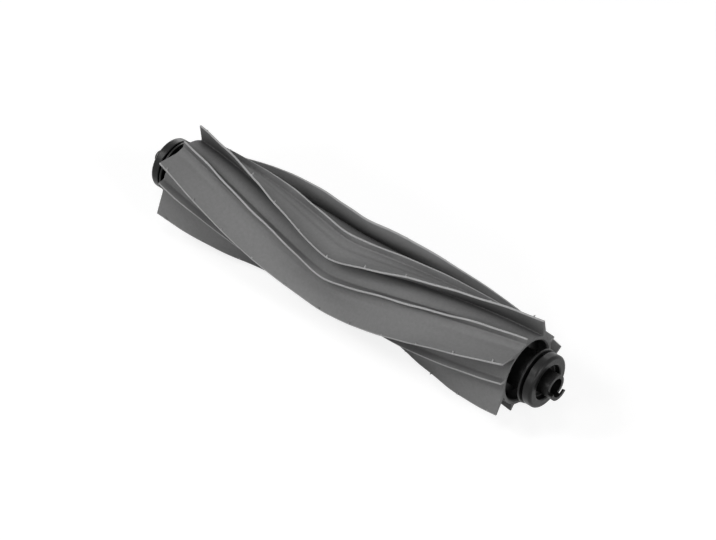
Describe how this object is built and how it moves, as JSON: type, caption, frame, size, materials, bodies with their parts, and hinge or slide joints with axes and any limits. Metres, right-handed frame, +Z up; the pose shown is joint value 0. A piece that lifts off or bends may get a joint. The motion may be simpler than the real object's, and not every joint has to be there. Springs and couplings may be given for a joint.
{
  "type": "robot vacuum roller brush",
  "caption": "Rubber roller brush of a robot vacuum: chevron fins, tall leaning ones and short upright ones in turn, on a rigid core, with a drive dog at one end and an axle on a ball bearing at the other.",
  "frame": {"origin": "on the roller's axis, at the middle of the overall length", "axes": "+X along the axis towards the drive dog, +Z up in the picture, +Y away from the picture's camera"},
  "size_m": [0.194, 0.0401, 0.04],
  "materials": {
    "grey_rubber": "matt moulded rubber",
    "core_plastic": "plain moulded",
    "black_plastic": "satin moulded",
    "steel": "ground",
    "ball_steel": "polished",
    "black_steel": "black oxide",
    "cage_nylon": "natural nylon",
    "felt": "pressed felt"
  },
  "bodies": {
    "idler": {"axle_pin": "black_steel", "idler_cap": "black_plastic", "bearing_inner_ring": "steel", "axle_clip": "black_steel", "axle_shim": "steel"},
    "roller": {"rubber_sleeve": "grey_rubber", "core_tube": "core_plastic", "drive_hub": "black_plastic", "drive_dog": "black_plastic", "dog_screw": "steel", "dog_washer": "steel", "idler_hub": "black_plastic", "bearing_outer_ring": "steel", "bearing_shield_inner": "steel", "bearing_shield_outer": "steel", "bearing_circlip": "black_steel", "felt_seal": "felt"},
    "ball_set": {"bearing_balls": "ball_steel", "bearing_cage": "cage_nylon"}
  },
  "joints": [
    {"name": "roller_spin", "type": "hinge", "parent": "idler", "child": "roller", "pos_m": [0, 0, 0], "axis": [1, 0, 0], "continuous": true},
    {"name": "cage_spin", "type": "hinge", "parent": "idler", "child": "ball_set", "pos_m": [-0.0751, 0, 0], "axis": [1, 0, 0], "continuous": true}
  ],
  "couplings": [
    {"joint": "cage_spin", "follows": "roller_spin", "ratio": 0.64}
  ]
}
